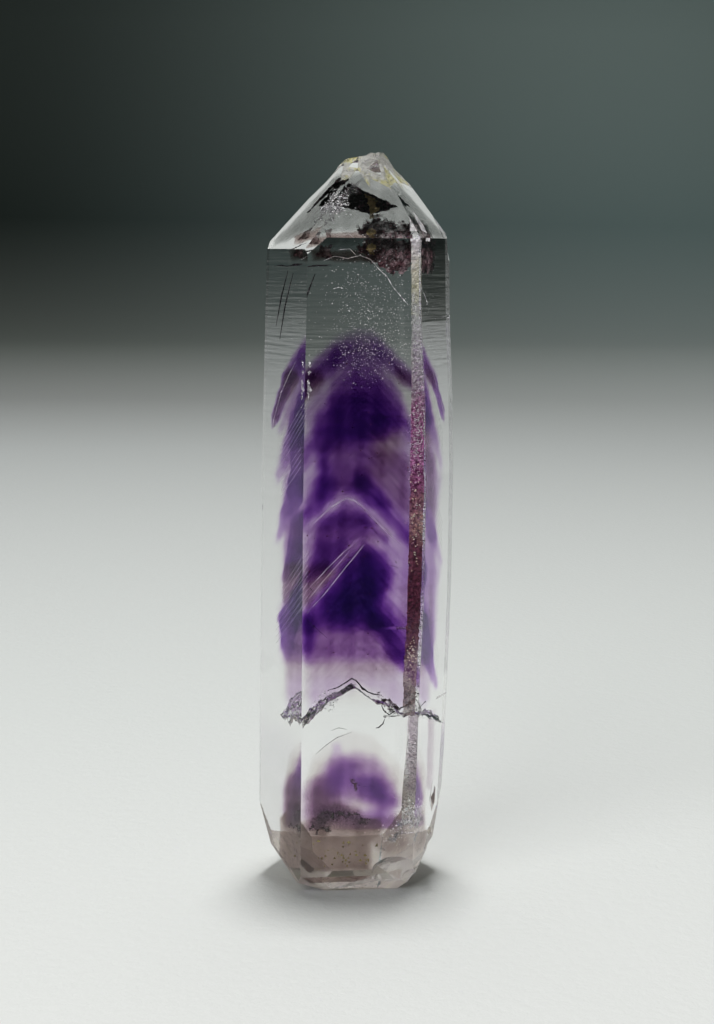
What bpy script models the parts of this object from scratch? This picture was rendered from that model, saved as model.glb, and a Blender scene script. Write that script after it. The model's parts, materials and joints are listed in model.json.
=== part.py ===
"""One amethyst crystal, a clear quartz prism that stands on its own flat, broken foot.

The body is a six-sided prism whose faces step in and out a little, as the crystal grew. Six
sloping faces and a small corner face close it at the top, where the point itself is broken
off. Sloping facets draw it in at the foot. The chips are shell-shaped scoops, as quartz breaks.

Lengths are written in millimetres and turned into metres by MM. The front of the crystal
faces -Y, it stands along +Z, and the origin is on the floor under its middle.
"""

import math
import random

import bmesh
import bpy
from mathutils import Matrix, Vector

MM = 0.001
PART_NAME = "amethyst_crystal"

# The prism: the way each face looks, as a compass angle in degrees from +X.
FACE_ANGLES = {
    "front": 270,
    "front_right": 330,
    "back_right": 30,
    "back": 90,
    "back_left": 150,
    "front_left": 210,
}

# How far each prism face lies from the axis at some heights, as (height, distance).
# Between two heights the face runs straight.
FACE_PROFILES = {
    "front": ((0.0, 6.19), (64.0, 6.19)),
    "front_right": (
        (0.0, 7.40), (10.0, 7.65), (21.0, 7.83), (29.0, 8.07), (40.0, 8.07), (47.0, 7.82),
        (54.5, 7.44), (64.0, 7.22),
    ),
    "back_right": (
        (0.0, 7.10), (8.0, 7.45), (13.0, 7.80), (21.0, 8.08), (39.0, 8.03), (47.0, 7.98),
        (53.0, 7.72), (64.0, 7.42),
    ),
    "back": ((0.0, 6.05), (20.0, 6.19), (45.0, 6.19), (68.0, 6.02)),
    "back_left": ((0.0, 8.10), (18.0, 8.10), (40.0, 7.92), (50.0, 7.66), (63.0, 7.36)),
    "front_left": ((0.0, 8.05), (38.0, 8.02), (51.0, 7.92), (63.0, 7.76)),
}

# Growth lines: low ledges that run across a prism face, each a little rise and fall.
# A face carries a share of them, and its deepest line is this deep, as (share, depth).
GROWTH_LINE_SEED = 11
GROWTH_LINE_COUNT = 58
GROWTH_LINE_HEIGHT = 0.14
GROWTH_ZONE = (2.4, 60.0)
GROWTH_LINES = {
    "front": (0.35, 0.0015),
    "front_right": (0.50, 0.002),
    "back_right": (0.85, 0.006),
    "back": (0.45, 0.0015),
    "back_left": (0.50, 0.002),
    "front_left": (0.45, 0.002),
}

# The blank that the facets are cut from reaches past both ends.
BLANK_BOTTOM = -1.5
BLANK_TOP = 74.0

# A rhombohedral face of quartz slopes at this angle from the level.
QUARTZ_SLOPE = 51.8

# Faces of the point, as (compass angle, slope, distance from the axis, height of that place).
POINT_FACETS = {
    "front": (270, QUARTZ_SLOPE, 6.19, 62.08),
    "front_left": (210, QUARTZ_SLOPE, 7.80, 61.00),
    "front_right": (330, QUARTZ_SLOPE, 6.95, 62.55),
    "back_right": (30, 66.0, 6.98, 63.30),
    "back": (90, QUARTZ_SLOPE, 6.08, 66.40),
    "back_left": (150, QUARTZ_SLOPE, 7.06, 62.15),
    "corner": (240, 60.0, 7.43, 61.70),
}

# Faces of the foot, which look down and outwards, written in the same way.
FOOT_FACETS = {
    "front": (270, 62.0, 6.19, 1.70),
    "left_steep": (176, 73.0, 9.32, 7.45),
    "left_low": (165, 38.0, 7.97, 3.95),
    "left_sole": (199, 21.0, 4.72, 0.00),
    "right_steep": (2, 77.0, 8.62, 8.30),
    "right_low": (8, 42.0, 7.70, 4.30),
    "back": (90, 52.0, 6.05, 3.00),
    "back_left": (140, 62.0, 7.60, 4.20),
    "back_right": (38, 60.0, 7.10, 4.60),
}

# The break across the tip, and the chipped zone below it.
# A row of scoops has a height, a count, and the width and depth of a scoop there.
TIP_AXIS = (1.0, 1.5)
TIP_BREAK_HEIGHT = 70.10
TIP_BREAK_TILT = (-0.02, -0.10)
TIP_ROWS = ((67.95, 11, 2.5, 0.20), (68.85, 9, 2.2, 0.24), (69.65, 7, 1.9, 0.26))
TIP_SEED = 5
TIP_TOP_SCOOPS = (
    ((-0.10, 0.75), 1.90, 0.30),
    ((1.15, 1.75), 1.70, 0.34),
    ((0.05, 2.30), 1.50, 0.26),
    ((1.75, 3.05), 1.30, 0.24),
)

# Chips: name, middle of the chip on the crystal, way out of it, width, height, depth.
CHIPS = (
    ("foot_chip", (3.10, -6.10, 2.55), (0.10, -1.00, -0.25), 4.4, 2.6, 0.45),
    ("foot_chip_side", (4.55, -6.00, 1.55), (0.55, -0.85, -0.35), 2.2, 1.5, 0.40),
    ("foot_nick", (1.75, -6.05, 1.45), (0.00, -1.00, -0.50), 0.7, 0.9, 0.28),
    ("leaf_chip", (7.62, -2.10, 8.00), (0.87, -0.48, 0.00), 2.2, 3.9, 0.20),
    ("leaf_chip_low", (7.20, -2.60, 4.60), (0.85, -0.50, -0.25), 1.5, 2.2, 0.24),
    ("right_edge_notch", (8.95, 0.00, 55.20), (1.00, 0.00, 0.10), 0.9, 1.9, 0.22),
    ("right_shoulder_chip", (8.46, 0.10, 61.60), (1.00, 0.00, 0.12), 1.3, 4.6, 0.34),
    ("left_shoulder_chip", (-8.74, -0.10, 60.90), (-1.00, 0.00, 0.10), 0.9, 2.4, 0.18),
    ("left_edge_chip", (-9.12, 0.00, 36.60), (-1.00, 0.05, 0.00), 0.7, 2.4, 0.12),
    ("back_shoulder_chip", (-3.40, 6.05, 64.60), (-0.45, 0.80, 0.40), 1.8, 1.3, 0.25),
    ("left_foot_chip", (-7.55, -1.40, 2.35), (-0.80, -0.35, -0.50), 1.2, 0.9, 0.16),
)

SCOOP_SUBDIVISIONS = 3
SCOOP_RIPPLE = 0.012
SCOOP_RIPPLE_COUNT = 9.0

QUARTZ_COLOUR = (0.62, 0.58, 0.66, 1.0)
QUARTZ_ROUGHNESS = 0.05
QUARTZ_IOR = 1.544


def clear_scene():
    """Remove what the scene holds, so that the script starts from nothing."""
    for old in list(bpy.data.objects):
        bpy.data.objects.remove(old, do_unlink=True)


def make_collection(name):
    """Make a collection and hang it in the scene."""
    collection = bpy.data.collections.new(name)
    bpy.context.scene.collection.children.link(collection)
    return collection


def quartz_material():
    """The clear, faintly violet quartz of the crystal."""
    material = bpy.data.materials.new("clear amethyst quartz")
    material.use_nodes = True
    shader = material.node_tree.nodes["Principled BSDF"]
    shader.inputs["Base Color"].default_value = QUARTZ_COLOUR
    shader.inputs["Roughness"].default_value = QUARTZ_ROUGHNESS
    shader.inputs["Metallic"].default_value = 0.0
    shader.inputs["IOR"].default_value = QUARTZ_IOR
    shader.inputs["Transmission Weight"].default_value = 1.0
    return material


def flat_direction(angle):
    """The level direction that a compass angle in degrees stands for."""
    turn = math.radians(angle)
    return Vector((math.cos(turn), math.sin(turn), 0.0))


def profile_distance(face, height):
    """How far a prism face lies from the axis at one height, without its growth lines."""
    profile = FACE_PROFILES[face]
    if height <= profile[0][0]:
        return profile[0][1]
    for (low, near), (high, far) in zip(profile, profile[1:]):
        if height <= high:
            return near + (far - near) * (height - low) / (high - low)
    return profile[-1][1]


def growth_lines():
    """Pick the growth lines: each has a height, and a depth on every face that carries it."""
    draw = random.Random(GROWTH_LINE_SEED)
    low, high = GROWTH_ZONE
    spacing = (high - low) / GROWTH_LINE_COUNT
    lines = []
    for number in range(GROWTH_LINE_COUNT):
        height = low + spacing * (number + draw.uniform(0.15, 0.75))
        depths = {}
        for face, (share, deepest) in GROWTH_LINES.items():
            carries = draw.random() < share
            depth = deepest * draw.uniform(0.3, 1.0)
            depths[face] = depth if carries else 0.0
        lines.append((height, depths))
    return lines


def ring_levels(lines):
    """List the heights at which the prism needs a ring, each with its growth-line depths."""
    level_face = {face: 0.0 for face in FACE_ANGLES}
    levels = [(BLANK_BOTTOM, level_face), (BLANK_TOP, level_face)]
    for profile in FACE_PROFILES.values():
        levels += [(height, level_face) for height, _ in profile if height > BLANK_BOTTOM]
    for height, depths in lines:
        levels.append((height - GROWTH_LINE_HEIGHT, level_face))
        levels.append((height, depths))
        levels.append((height + 2.0 * GROWTH_LINE_HEIGHT, level_face))
    levels.sort(key=lambda level: level[0])
    spaced = []
    for height, depths in levels:
        if spaced and height - spaced[-1][0] < 0.25 * GROWTH_LINE_HEIGHT:
            continue
        spaced.append((height, depths))
    return spaced


def ring_corners(height, depths):
    """The six corners of the prism at one height, each where two neighbour faces meet."""
    faces = list(FACE_ANGLES)
    corners = {}
    for first, second in zip(faces, faces[1:] + faces[:1]):
        way_1 = flat_direction(FACE_ANGLES[first])
        way_2 = flat_direction(FACE_ANGLES[second])
        reach_1 = profile_distance(first, height) + depths[first]
        reach_2 = profile_distance(second, height) + depths[second]
        cross = way_1.x * way_2.y - way_1.y * way_2.x
        x = (reach_1 * way_2.y - reach_2 * way_1.y) / cross
        y = (reach_2 * way_1.x - reach_1 * way_2.x) / cross
        middle_angle = FACE_ANGLES[first] + 30
        corners[round(middle_angle / 60) % 6] = Vector((x, y, height))
    return corners


def prism_blank():
    """Start from a six-sided cylinder, cut it into rings, and set the corners of each ring."""
    depth = (BLANK_TOP - BLANK_BOTTOM) * MM
    middle = 0.5 * (BLANK_TOP + BLANK_BOTTOM) * MM
    blank = bmesh.new()
    bmesh.ops.create_cone(
        blank,
        cap_ends=True,
        segments=6,
        radius1=9.0 * MM,
        radius2=9.0 * MM,
        depth=depth,
        matrix=Matrix.Translation((0.0, 0.0, middle)) @ Matrix.Rotation(math.radians(30), 4, "Z"),
    )
    levels = ring_levels(growth_lines())
    for height, _ in levels[1:-1]:
        everything = blank.verts[:] + blank.edges[:] + blank.faces[:]
        bmesh.ops.bisect_plane(
            blank, geom=everything, plane_co=(0, 0, height * MM), plane_no=(0, 0, 1), dist=1e-9
        )
    rings = [(height, ring_corners(height, depths)) for height, depths in levels]
    for vertex in blank.verts:
        height, corners = min(rings, key=lambda ring: abs(ring[0] * MM - vertex.co.z))
        corner = round(math.degrees(math.atan2(vertex.co.y, vertex.co.x)) / 60) % 6
        vertex.co = corners[corner] * MM
    return blank


def facet_plane(angle, slope, distance, height, downwards=False):
    """A point on a sloping facet and the way that the facet looks."""
    outward = flat_direction(angle)
    point = outward * distance
    point.z = height
    lean = math.radians(slope)
    normal = outward * math.sin(lean)
    normal.z = -math.cos(lean) if downwards else math.cos(lean)
    return point * MM, normal


def cut_facet(solid, point, normal):
    """Saw the solid along a plane, drop what is outside, and close the cut with one face."""
    everything = solid.verts[:] + solid.edges[:] + solid.faces[:]
    cut = bmesh.ops.bisect_plane(
        solid, geom=everything, plane_co=point, plane_no=normal, clear_outer=True, dist=1e-9
    )
    rim = [piece for piece in cut["geom_cut"] if isinstance(piece, bmesh.types.BMEdge)]
    if rim:
        bmesh.ops.holes_fill(solid, edges=rim, sides=0)


def cut_ends(solid):
    """Cut the faces of the point, the break across it, the faces of the foot, and the base."""
    for facet in POINT_FACETS.values():
        cut_facet(solid, *facet_plane(*facet))
    tip_point = Vector((*TIP_AXIS, TIP_BREAK_HEIGHT)) * MM
    tip_normal = Vector((*TIP_BREAK_TILT, 1.0)).normalized()
    cut_facet(solid, tip_point, tip_normal)
    for facet in FOOT_FACETS.values():
        cut_facet(solid, *facet_plane(*facet, downwards=True))
    cut_facet(solid, Vector((0.0, 0.0, 0.0)), Vector((0.0, 0.0, -1.0)))
    bmesh.ops.recalc_face_normals(solid, faces=solid.faces[:])


def scoop(name, place, outward, width, height, depth, collection):
    """A cutter for one chip: a flattened ball with faint ripples, sunk in by the chip's depth."""
    outward = Vector(outward).normalized()
    radius = (0.25 * max(width, height) ** 2 + depth ** 2) / (2.0 * depth)
    ball = bmesh.new()
    bmesh.ops.create_icosphere(ball, subdivisions=SCOOP_SUBDIVISIONS, radius=radius * MM)
    for vertex in ball.verts:
        from_pole = (vertex.co.normalized() - Vector((0.0, 0.6, -0.8))).length
        vertex.co *= 1.0 + SCOOP_RIPPLE * math.cos(SCOOP_RIPPLE_COUNT * math.pi * from_pole)
    squash = Matrix.Diagonal((width / max(width, height), height / max(width, height), 1.0, 1.0))
    turn = outward.to_track_quat("Z", "Y").to_matrix().to_4x4()
    centre = (Vector(place) + outward * (radius - depth)) * MM
    bmesh.ops.transform(ball, matrix=Matrix.Translation(centre) @ turn @ squash, verts=ball.verts[:])
    bmesh.ops.recalc_face_normals(ball, faces=ball.faces[:])
    mesh = bpy.data.meshes.new(name)
    ball.to_mesh(mesh)
    ball.free()
    cutter = bpy.data.objects.new(name, mesh)
    cutter.hide_render = True
    cutter.display_type = "WIRE"
    collection.objects.link(cutter)
    return cutter


def point_surface(angle, height):
    """The place on the faces of the point that lies level from the tip's axis, and its way out."""
    start = Vector((*TIP_AXIS, height)) * MM
    way = flat_direction(angle)
    nearest = None
    for facet in POINT_FACETS.values():
        point, normal = facet_plane(*facet)
        if normal.dot(way) <= 1e-6:
            continue
        reach = normal.dot(point - start) / normal.dot(way)
        if nearest is None or reach < nearest[0]:
            nearest = (reach, normal)
    reach, normal = nearest
    return (start + way * reach) / MM, normal


def tip_scoops(collection):
    """Scoops in rows round the broken tip, and a few in the top of the break."""
    draw = random.Random(TIP_SEED)
    cutters = []
    for row, (height, count, width, depth) in enumerate(TIP_ROWS):
        for number in range(count):
            angle = 360.0 * (number + 0.5 * (row % 2) + draw.uniform(-0.25, 0.25)) / count
            place, outward = point_surface(angle, height + draw.uniform(-0.25, 0.25))
            lean = Vector((draw.uniform(-0.3, 0.3), draw.uniform(-0.3, 0.3), draw.uniform(-0.1, 0.4)))
            size = width * draw.uniform(0.75, 1.35)
            name = "tip_scoop_%d_%d" % (row, number)
            sunk = depth * draw.uniform(0.5, 1.15)
            cutters.append(scoop(name, place, outward + lean, size, size * 1.3, sunk, collection))
    for number, ((x, y), width, depth) in enumerate(TIP_TOP_SCOOPS):
        height = TIP_BREAK_HEIGHT - Vector(TIP_BREAK_TILT).dot(Vector((x, y)) - Vector(TIP_AXIS))
        name = "tip_top_scoop_%d" % number
        cutters.append(scoop(name, (x, y, height), (0.1, -0.2, 1.0), width, width * 1.4, depth, collection))
    return cutters


def chip_scoops(collection):
    """One scoop for each chip on the sides, the shoulders and the foot."""
    return [scoop(*chip, collection) for chip in CHIPS]


def cut_away(body, cutters):
    """Take every cutter out of the body."""
    for cutter in cutters:
        cut = body.modifiers.new(cutter.name, "BOOLEAN")
        cut.operation = "DIFFERENCE"
        cut.object = cutter


def crystal(parts, cutters):
    """The whole crystal as one closed solid."""
    solid = prism_blank()
    cut_ends(solid)
    mesh = bpy.data.meshes.new(PART_NAME)
    solid.to_mesh(mesh)
    solid.free()
    mesh.materials.append(quartz_material())
    body = bpy.data.objects.new(PART_NAME, mesh)
    parts.objects.link(body)
    cut_away(body, tip_scoops(cutters) + chip_scoops(cutters))
    return body


def main():
    clear_scene()
    parts = make_collection("amethyst crystal")
    cutters = make_collection("cutters")
    crystal(parts, cutters)


main()
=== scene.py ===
# %% [markdown]
# An amethyst crystal with violet phantoms
#
# This lesson dresses one natural quartz crystal. The solid model gives its true outside: the
# flat faces, the ledges, the broken tip and the foot. Here it becomes clear quartz, and the
# things that grew inside it are added: the violet zones, the veils, the cracks and the specks.

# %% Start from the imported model
import math
import random

import bpy
import bmesh
import numpy as np
from mathutils import Matrix, Vector, noise
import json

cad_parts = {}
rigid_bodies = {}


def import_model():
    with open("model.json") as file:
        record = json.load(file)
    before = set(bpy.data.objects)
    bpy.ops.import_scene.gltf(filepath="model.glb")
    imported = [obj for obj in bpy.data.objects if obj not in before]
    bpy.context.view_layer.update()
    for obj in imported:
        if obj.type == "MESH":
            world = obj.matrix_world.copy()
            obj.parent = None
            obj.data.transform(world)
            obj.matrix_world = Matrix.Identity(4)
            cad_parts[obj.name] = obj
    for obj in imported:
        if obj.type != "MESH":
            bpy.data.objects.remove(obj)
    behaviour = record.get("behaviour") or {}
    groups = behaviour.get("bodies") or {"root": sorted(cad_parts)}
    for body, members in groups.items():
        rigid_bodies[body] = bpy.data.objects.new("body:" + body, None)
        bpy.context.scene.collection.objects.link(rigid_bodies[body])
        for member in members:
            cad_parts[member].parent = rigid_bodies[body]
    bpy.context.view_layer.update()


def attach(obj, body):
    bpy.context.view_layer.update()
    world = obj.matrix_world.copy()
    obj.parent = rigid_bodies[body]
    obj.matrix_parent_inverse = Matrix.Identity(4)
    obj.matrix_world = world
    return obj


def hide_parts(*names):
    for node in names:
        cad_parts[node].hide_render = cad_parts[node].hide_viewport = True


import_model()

MM = 0.001
CRYSTAL_NODE = "amethyst_crystal"

# %% [markdown]
# The camera
#
# The crystal is seen a little from its left and from about its shoulder height, looking down
# by some nine degrees. A 60 mm lens at two and a half crystal heights gives the same closing
# of the lines towards the foot as the photograph has.

# %% Camera
VIEW_AZIMUTH = math.radians(6.3)
VIEW_DISTANCE = 162.5 * MM
EYE_HEIGHT = 61.0 * MM
VIEW_PITCH = math.radians(8.73)
VIEW_ROLL = math.radians(0.65)
LENS = 60.0

camera_data = bpy.data.cameras.new("camera")
camera_data.lens = LENS
camera_data.clip_start = 0.005
camera_data.clip_end = 20.0
camera = bpy.data.objects.new("camera", camera_data)
bpy.context.scene.collection.objects.link(camera)
camera.location = (
    -VIEW_DISTANCE * math.sin(VIEW_AZIMUTH),
    -VIEW_DISTANCE * math.cos(VIEW_AZIMUTH),
    EYE_HEIGHT,
)
camera.rotation_mode = "XYZ"
turn = Matrix.Rotation(-VIEW_AZIMUTH, 3, "Z") @ Matrix.Rotation(math.radians(90) - VIEW_PITCH, 3, "X")
camera.rotation_euler = (turn @ Matrix.Rotation(VIEW_ROLL, 3, "Z")).to_euler()
bpy.context.scene.camera = camera
print("camera at", [round(v / MM, 1) for v in camera.location])

# %% [markdown]
# Node materials
#
# Every finish here is built from shader nodes. Ready images would be quicker, but nodes keep
# their detail at any distance and follow the stone's own shape. A few small helpers keep the
# finishes short: one adds a node, one starts a finish with its surface shader, and each of the
# others adds one common step, such as noise in the stone's own coordinates, colours picked by
# a pattern, or a bump.

# %% Helpers for materials
def add_node(tree, kind, settings=None, inputs=None):
    """Add one shader node, with its settings and the values of its inputs."""
    node = tree.nodes.new(kind)
    for key, value in (settings or {}).items():
        setattr(node, key, value)
    for key, value in (inputs or {}).items():
        node.inputs[key].default_value = value
    return node


def new_finish(name, values):
    """Make a node material with one surface shader, and give back all three."""
    material = bpy.data.materials.new(name)
    material.use_nodes = True
    tree = material.node_tree
    tree.nodes.clear()
    output = add_node(tree, "ShaderNodeOutputMaterial")
    shader = add_node(tree, "ShaderNodeBsdfPrincipled", inputs=values)
    tree.links.new(shader.outputs[0], output.inputs["Surface"])
    return material, tree, shader


def grain(tree, scale, detail, roughness, squeeze=None):
    """Noise that stays put in the stone, because it reads the piece's own coordinates."""
    values = {"Scale": scale, "Detail": detail, "Roughness": roughness}
    pattern = add_node(tree, "ShaderNodeTexNoise", inputs=values)
    place = add_node(tree, "ShaderNodeTexCoord").outputs["Object"]
    if squeeze:
        squeezed = add_node(tree, "ShaderNodeMapping", inputs={"Scale": squeeze})
        tree.links.new(place, squeezed.inputs["Vector"])
        place = squeezed.outputs[0]
    tree.links.new(place, pattern.inputs["Vector"])
    return pattern.outputs["Fac"]


def tint(tree, pattern, stops):
    """Colours picked by a pattern, from stops that are (position, colour) pairs."""
    ramp_node = add_node(tree, "ShaderNodeValToRGB")
    elements = ramp_node.color_ramp.elements
    while len(elements) < len(stops):
        elements.new(0.5)
    for element, (position, colour) in zip(elements, stops):
        element.position = position
        element.color = (*colour, 1.0)
    tree.links.new(pattern, ramp_node.inputs[0])
    return ramp_node.outputs["Color"]


def spread(tree, value, start, end, low=0.0, high=1.0):
    """Turn values from start to end into values from low to high."""
    span = {"From Min": start, "From Max": end, "To Min": low, "To Max": high}
    spread_node = add_node(tree, "ShaderNodeMapRange", inputs=span)
    tree.links.new(value, spread_node.inputs["Value"])
    return spread_node.outputs[0]


def blend(tree, share, first, second):
    """Mix two colours: only the first where the share is 0, only the second where it is 1."""
    mix = add_node(tree, "ShaderNodeMix", {"data_type": "RGBA"})
    tree.links.new(share, mix.inputs["Factor"])
    tree.links.new(first, mix.inputs[6])
    tree.links.new(second, mix.inputs[7])
    return mix.outputs[2]


def add_bump(tree, shader, pattern, strength, distance):
    """Let a pattern raise and lower the surface."""
    bump = add_node(tree, "ShaderNodeBump", inputs={"Strength": strength, "Distance": distance})
    tree.links.new(pattern, bump.inputs["Height"])
    tree.links.new(bump.outputs["Normal"], shader.inputs["Normal"])


# %% [markdown]
# Floor and backdrop
#
# The crystal stands on a pale, finely grained floor that turns up into a backdrop. Light falls off
# behind it, so the pale grey sinks softly into a dark grey-green, and that fall-off is painted shade
# in the paper's colour. Paint could do that in many ways; here a ramp runs along the paper, and a
# second one takes over at the left.

# %% Floor and backdrop
# The colours run along the paper from this far in front (0) to this far back or up (1), in metres.
PAPER_FRONT, PAPER_BACK = -0.6, 2.4
# They change from the left side's to the right side's between these places.
LEFT_SIDE, RIGHT_SIDE = -0.20, 0.50
# In front, out of sight, the paper is painted dark, so that the front face has nothing pale to mirror.
# Further back the stops hold painted shade, deepest part way up the wall and lighter again above it.
FLOOR_SHADE_STOPS = (
    (0.00, (0.03, 0.03, 0.03)),
    (0.172, (0.06, 0.06, 0.06)),
    (0.184, (0.69, 0.70, 0.68)),
    (0.22, (0.62, 0.64, 0.62)),
    (0.32, (0.46, 0.48, 0.47)),
    (0.50, (0.45, 0.50, 0.48)),
    (0.66, (0.28, 0.38, 0.37)),
    (0.80, (0.50, 0.63, 0.60)),
)
# The left side is the same near the crystal, and its painted shade sinks into the dark behind it.
LEFT_SHADE_STOPS = FLOOR_SHADE_STOPS[:5] + (
    (0.38, (0.29, 0.30, 0.29)),
    (0.50, (0.19, 0.21, 0.19)),
    (0.66, (0.03, 0.04, 0.035)),
    (0.80, (0.08, 0.10, 0.09)),
)


def sweep_material():
    """Pale grey paper with painted shade: it darkens away from the crystal, most of all to the left."""
    material, tree, shader = new_finish("floor_paper", {"Roughness": 0.6, "Specular IOR Level": 0.15})
    place = add_node(tree, "ShaderNodeTexCoord")
    parts = add_node(tree, "ShaderNodeSeparateXYZ")
    tree.links.new(place.outputs["Object"], parts.inputs[0])
    along = add_node(tree, "ShaderNodeMath", {"operation": "ADD"})
    tree.links.new(parts.outputs["Y"], along.inputs[0])
    tree.links.new(parts.outputs["Z"], along.inputs[1])
    reach = spread(tree, along.outputs[0], PAPER_FRONT, PAPER_BACK)
    side = add_node(
        tree,
        "ShaderNodeMapRange",
        {"interpolation_type": "SMOOTHSTEP"},
        {"From Min": LEFT_SIDE, "From Max": RIGHT_SIDE},
    )
    tree.links.new(parts.outputs["X"], side.inputs["Value"])
    left, right = tint(tree, reach, LEFT_SHADE_STOPS), tint(tree, reach, FLOOR_SHADE_STOPS)
    tree.links.new(blend(tree, side.outputs[0], left, right), shader.inputs["Base Color"])
    add_bump(tree, shader, grain(tree, 900.0, 3.0, 0.6), 0.3, 0.0004)
    return material


SWEEP_FRONT = -1.2
SWEEP_START = 0.95
SWEEP_RADIUS = 0.75
SWEEP_TOP = 1.6
SWEEP_HALF_WIDTH = 2.2


def sweep_mesh():
    """A floor that turns up into a wall: a grid laid flat, then bent along its length."""
    bpy.ops.object.select_all(action="DESELECT")
    flat = SWEEP_START - SWEEP_FRONT
    arc = 0.5 * math.pi * SWEEP_RADIUS
    length = flat + arc + (SWEEP_TOP - SWEEP_RADIUS)
    bpy.ops.mesh.primitive_grid_add(x_subdivisions=2, y_subdivisions=96, size=1.0)
    sweep = bpy.context.object
    sweep.name = "floor"
    for vertex in sweep.data.vertices:
        run = (vertex.co.y + 0.5) * length
        x = vertex.co.x * 2.0 * SWEEP_HALF_WIDTH
        if run <= flat:
            vertex.co = (x, SWEEP_FRONT + run, 0.0)
        elif run <= flat + arc:
            angle = (run - flat) / SWEEP_RADIUS
            y = SWEEP_START + SWEEP_RADIUS * math.sin(angle)
            vertex.co = (x, y, SWEEP_RADIUS * (1.0 - math.cos(angle)))
        else:
            vertex.co = (x, SWEEP_START + SWEEP_RADIUS, SWEEP_RADIUS + run - flat - arc)
    bpy.ops.object.shade_smooth()
    sweep.data.materials.append(sweep_material())
    return sweep


floor = sweep_mesh()
print("floor and backdrop:", len(floor.data.polygons), "faces")

# %% [markdown]
# Light
#
# A small lamp hangs nearly straight over the crystal and gives it the short, dark shadow at its
# foot. A wide lamp lights the floor behind, a third stands in front at the left, and a weak even
# light comes from all round.

# %% Light
def soft_lamp(name, place, aim, size, power):
    """A white, square area lamp that looks at a place."""
    data = bpy.data.lights.new(name, "AREA")
    data.shape = "SQUARE"
    data.size = size
    data.energy = power
    lamp = bpy.data.objects.new(name, data)
    lamp.location = place
    lamp.rotation_euler = (Vector(aim) - Vector(place)).to_track_quat("-Z", "Y").to_euler()
    bpy.context.scene.collection.objects.link(lamp)
    return lamp


soft_lamp("key lamp", place=(0.015, 0.075, 0.85), aim=(0.0, 0.02, 0.0), size=0.13, power=5.8)
soft_lamp("back lamp", place=(0.0, 0.55, 0.85), aim=(0.0, 0.30, 0.0), size=0.95, power=2.0)
soft_lamp("left lamp", place=(-0.34, -0.34, 0.36), aim=(0.0, 0.0, 0.04), size=0.34, power=1.3)

world = bpy.data.worlds.new("soft room")
world.use_nodes = True
even_light = world.node_tree.nodes["Background"]
even_light.inputs["Color"].default_value = (0.72, 0.80, 0.77, 1.0)
even_light.inputs["Strength"].default_value = 0.06
bpy.context.scene.world = world

# Light turns many corners inside a crystal before it comes out again.
paths = bpy.context.scene.cycles
paths.max_bounces = 40
paths.glossy_bounces = 24
paths.transmission_bounces = 40
paths.transparent_max_bounces = 24
bpy.context.scene.view_settings.view_transform = "Standard"
print("lamps:", [lamp.name for lamp in bpy.data.lights])

# %% [markdown]
# Clear quartz
#
# Quartz is clear all through and bends light by an index of 1.544. Its faces carry very fine
# level growth lines, so the clean finish has a faint striation, and one face at the back has a
# stronger one. A break is another matter: small steps scatter the light. The tip is frosted and
# holds a yellow stain, fresh chips are nearly clear, and the old break at the foot is tan.

# %% Five finishes of quartz
QUARTZ_IOR = 1.544
WHITE = (1.0, 1.0, 1.0, 1.0)
CLEAR = {"Base Color": WHITE, "Roughness": 0.0, "IOR": QUARTZ_IOR, "Transmission Weight": 1.0}


def clear_quartz():
    """Clear quartz with a faint level striation."""
    material, tree, shader = new_finish("clear_quartz", CLEAR)
    add_bump(tree, shader, grain(tree, 1.0, 2.0, 0.5, squeeze=(160.0, 160.0, 3200.0)), 0.25, 0.00003)
    return material


def striated_quartz():
    """The prism face with the deepest striation: it breaks up what is mirrored in it."""
    material, tree, shader = new_finish("striated_quartz", CLEAR)
    add_bump(tree, shader, grain(tree, 1.0, 3.0, 0.6, squeeze=(900.0, 900.0, 5200.0)), 0.7, 0.00008)
    return material


def chipped_quartz():
    """Fresh, shell-shaped chips near the foot: clear, with fine ripples."""
    chip_look = {"Base Color": (0.96, 0.96, 0.97, 1.0), "Roughness": 0.12, "Transmission Weight": 0.85}
    material, tree, shader = new_finish("chipped_quartz", {**CLEAR, **chip_look})
    add_bump(tree, shader, grain(tree, 900.0, 4.0, 0.6), 0.7, 0.0004)
    return material


BREAK_TINTS = ((0.50, (0.82, 0.81, 0.75)), (0.60, (0.93, 0.87, 0.33)), (0.70, (0.86, 0.83, 0.62)))
FOOT_TINTS = ((0.38, (0.70, 0.61, 0.54)), (0.55, (0.82, 0.75, 0.68)), (0.68, (0.75, 0.70, 0.53)))


def broken_quartz():
    """Quartz broken into fine steps: frosted, grey, with yellow stain in the hollows."""
    material, tree, shader = new_finish(
        "broken_quartz", {"Roughness": 0.26, "IOR": QUARTZ_IOR, "Transmission Weight": 0.65}
    )
    stain = tint(tree, grain(tree, 620.0, 4.0, 0.65), BREAK_TINTS)
    tree.links.new(stain, shader.inputs["Base Color"])
    add_bump(tree, shader, grain(tree, 1300.0, 6.0, 0.65), 1.0, 0.0014)
    return material


def foot_quartz():
    """The old break that the crystal stands on: rough, grey and a little tan."""
    material, tree, shader = new_finish(
        "foot_break", {"Roughness": 0.6, "IOR": QUARTZ_IOR, "Transmission Weight": 0.5}
    )
    cloud = grain(tree, 500.0, 4.0, 0.6)
    tree.links.new(tint(tree, cloud, FOOT_TINTS), shader.inputs["Base Color"])
    add_bump(tree, shader, cloud, 0.5, 0.0005)
    return material


# %% [markdown]
# The outside of the crystal
#
# The copy keeps every facet, ledge and chip of the model. Points that belong to the same
# corner are merged first, so the surface is one closed skin and light bends through it cleanly.
# It stays flat-shaded, because the edges of a crystal are sharp. Each face then gets one of the
# five finishes: small faces near the tip are the break, small ones at the bottom are chips.

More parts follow.
